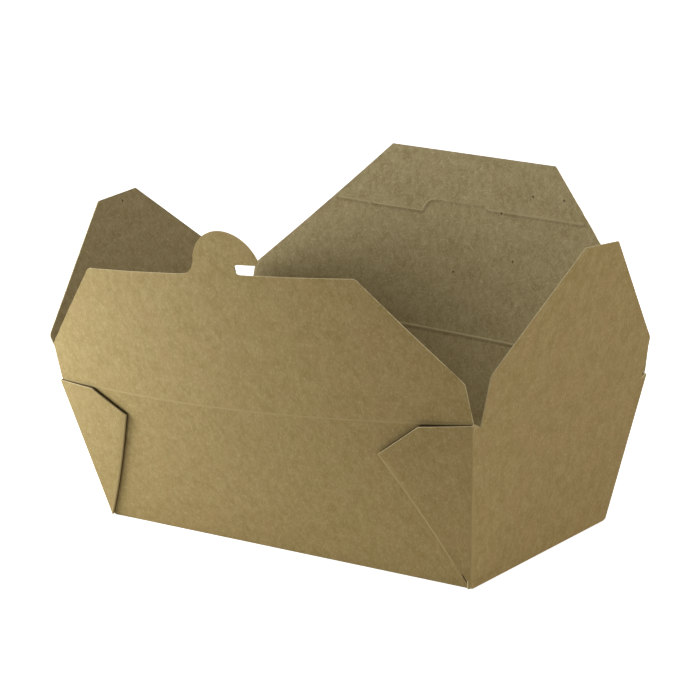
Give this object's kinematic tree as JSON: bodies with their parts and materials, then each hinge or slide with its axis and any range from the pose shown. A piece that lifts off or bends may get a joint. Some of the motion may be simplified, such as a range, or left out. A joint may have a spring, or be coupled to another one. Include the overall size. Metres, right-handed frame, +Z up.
{
  "type": "takeaway box",
  "caption": "Folded kraft board food tray with flaring walls, doubled corner webs and open lid flaps, one with a hook tab that locks into a slit in the flap opposite.",
  "frame": {"origin": "middle of the base's underside, on the table", "axes": "+X along the long side to the right end, +Y from the front wall with the hook tab's flap to the back, +Z up"},
  "size_m": [0.2541, 0.1913, 0.1518],
  "materials": {
    "kraft_board": "matte uncoated brown board"
  },
  "bodies": {
    "tray": {"tray": "kraft_board"},
    "front_flap": {"front_flap": "kraft_board"},
    "back_flap": {"back_flap": "kraft_board"},
    "left_flap": {"left_flap": "kraft_board"},
    "right_flap": {"right_flap": "kraft_board"}
  },
  "joints": [
    {"name": "front_crease", "type": "hinge", "parent": "tray", "child": "front_flap", "pos_m": [0, -0.067, 0.071], "axis": [-0.999, 0, -0.0452], "range_deg": [0, 102]},
    {"name": "back_crease", "type": "hinge", "parent": "tray", "child": "back_flap", "pos_m": [0, 0.067, 0.071], "axis": [0.999, 0, -0.0452], "range_deg": [0, 97]},
    {"name": "right_crease", "type": "hinge", "parent": "tray", "child": "right_flap", "pos_m": [0.11013, 0, 0.069], "axis": [0, -0.9972, 0.0749], "range_deg": [-90, 107]},
    {"name": "left_crease", "type": "hinge", "parent": "tray", "child": "left_flap", "pos_m": [-0.11013, 0, 0.069], "axis": [0, 0.9972, 0.0749], "range_deg": [-90, 108]}
  ]
}
